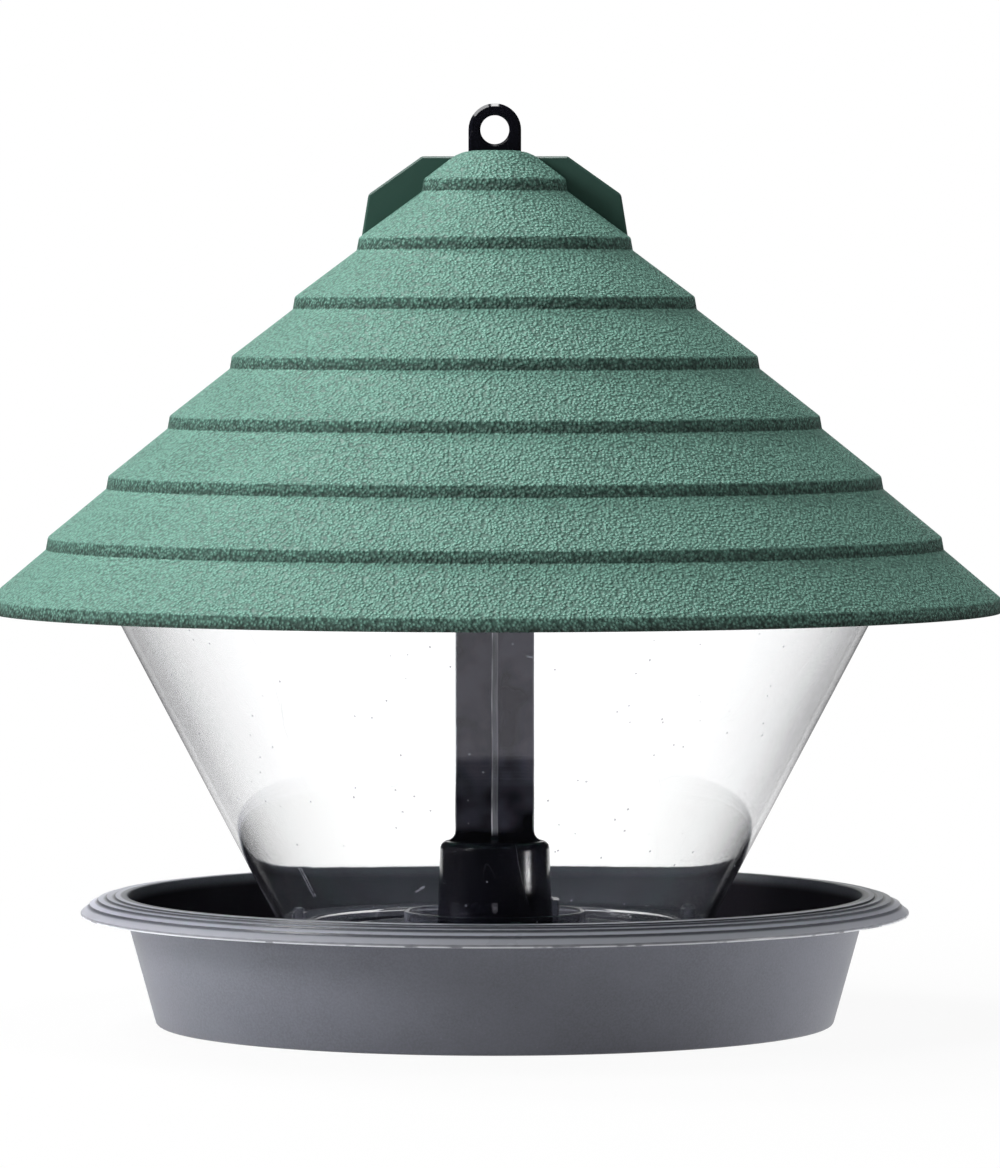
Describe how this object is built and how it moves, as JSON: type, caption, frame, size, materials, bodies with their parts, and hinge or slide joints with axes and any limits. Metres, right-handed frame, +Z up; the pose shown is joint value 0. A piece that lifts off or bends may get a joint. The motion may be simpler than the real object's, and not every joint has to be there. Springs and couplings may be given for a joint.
{
  "type": "silo bird feeder",
  "caption": "Silo bird feeder: a clear conical seed funnel over a round tray, under a stepped roof that lifts off a central post with a hanging eye and a pole socket.",
  "frame": {"origin": "middle of the tray's foot, on the ground", "axes": "+Z up along the post, X across the faces of the eye plate and the roof's two grip wings, Y through the eye's hole"},
  "size_m": [0.32, 0.32, 0.2904],
  "materials": {
    "roof": "moulded green plastic with a hammered grain",
    "hopper": "clear gloss",
    "seed_plate": "clear gloss",
    "tray": "dark grey, satin",
    "hanger_post": "black gloss"
  },
  "bodies": {
    "post_body": {"hanger_post": "hanger_post"},
    "tray_body": {"tray": "tray"},
    "hopper_body": {"hopper": "hopper", "seed_plate": "seed_plate"},
    "roof_body": {"roof": "roof"}
  },
  "joints": [
    {"name": "tray_lift", "type": "slide", "parent": "post_body", "child": "tray_body", "axis": [0, 0, 1], "range_m": [0, 0.295]},
    {"name": "hopper_lift", "type": "slide", "parent": "tray_body", "child": "hopper_body", "axis": [0, 0, 1], "range_m": [0, 0.27]},
    {"name": "roof_lift", "type": "slide", "parent": "hopper_body", "child": "roof_body", "axis": [0, 0, 1], "range_m": [0, 0.165]}
  ]
}
